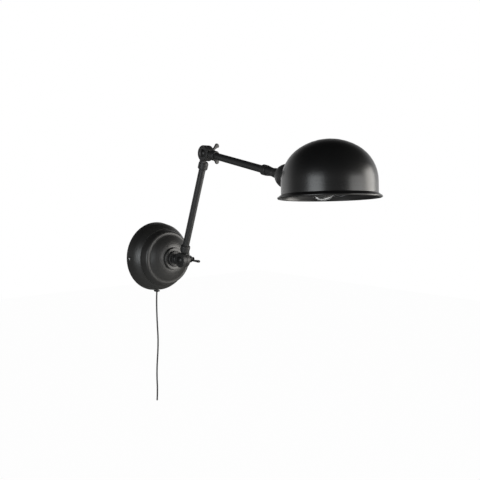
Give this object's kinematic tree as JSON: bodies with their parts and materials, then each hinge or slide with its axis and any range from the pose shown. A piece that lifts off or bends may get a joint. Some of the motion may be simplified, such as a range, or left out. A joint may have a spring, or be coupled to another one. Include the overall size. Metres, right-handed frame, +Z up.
{
  "type": "corded swing arm wall lamp",
  "caption": "Matte black corded wall lamp: stepped round canopy, pivoting arms with wing nuts, swivelling dome shade with rolled rim.",
  "frame": {"origin": "middle of the wall bracket's back face, on the wall", "axes": "+Y into the wall, +Z up, the lamp stands out towards -Y"},
  "size_m": [0.1598, 0.5542, 0.5307],
  "materials": {
    "black_paint": "matte black",
    "shade_paint": "satin black outside and inside",
    "black_hardware": "matte black",
    "zinc_steel": "zinc plated",
    "screw_steel": "bright",
    "black_plastic": "matte",
    "white_plastic": "matte",
    "cord_cover": "smooth black sheath",
    "bulb_glass": "clear",
    "bulb_metal": "plain"
  },
  "bodies": {
    "base": {"wall_bracket": "zinc_steel", "terminal_block": "white_plastic", "canopy": "black_paint", "canopy_screw_left": "screw_steel", "canopy_screw_right": "screw_steel", "cord_gland": "black_plastic", "gland_nut": "black_plastic", "cord": "cord_cover", "canopy_boss": "black_paint", "nipple": "zinc_steel", "lock_washer": "zinc_steel", "lock_nut": "zinc_steel", "stem": "black_paint", "lower_bolt": "black_hardware", "lower_washer": "black_hardware"},
    "lower_nut": {"lower_wing_nut": "black_hardware"},
    "lower_arm": {"lower_arm_foot": "black_paint", "lower_arm_tube": "black_paint", "lower_arm_head": "black_paint", "head_set_screw": "black_hardware", "elbow_bolt": "black_hardware", "elbow_washer": "black_hardware"},
    "elbow_nut": {"elbow_wing_nut": "black_hardware"},
    "upper_arm": {"upper_arm_root": "black_paint", "upper_arm_tube": "black_paint", "arm_end_collar": "black_paint"},
    "head": {"swivel_stub": "black_paint", "socket_cup": "black_paint", "lamp_holder": "black_plastic", "shade_ring": "black_plastic", "shade": "shade_paint", "bulb_contact": "bulb_metal", "bulb_base": "bulb_metal", "bulb_glass": "bulb_glass", "bulb_mount": "bulb_glass"}
  },
  "joints": [
    {"name": "lower_pivot", "type": "hinge", "parent": "base", "child": "lower_arm", "pos_m": [0, -0.094, 0], "axis": [1, 0, 0], "range_deg": [-30, 70]},
    {"name": "elbow", "type": "hinge", "parent": "lower_arm", "child": "upper_arm", "pos_m": [0, -0.16924, 0.20673], "axis": [1, 0, 0], "range_deg": [-55, 40]},
    {"name": "shade_swivel", "type": "hinge", "parent": "upper_arm", "child": "head", "pos_m": [0, -0.33651, 0.17118], "axis": [0, -0.9781, -0.2079], "range_deg": [-90, 90]},
    {"name": "lower_wing_turn", "type": "hinge", "parent": "base", "child": "lower_nut", "pos_m": [0.019, -0.094, 0], "axis": [1, 0, 0], "continuous": true},
    {"name": "elbow_wing_turn", "type": "hinge", "parent": "lower_arm", "child": "elbow_nut", "pos_m": [0.019, -0.16924, 0.20673], "axis": [1, 0, 0], "continuous": true}
  ]
}
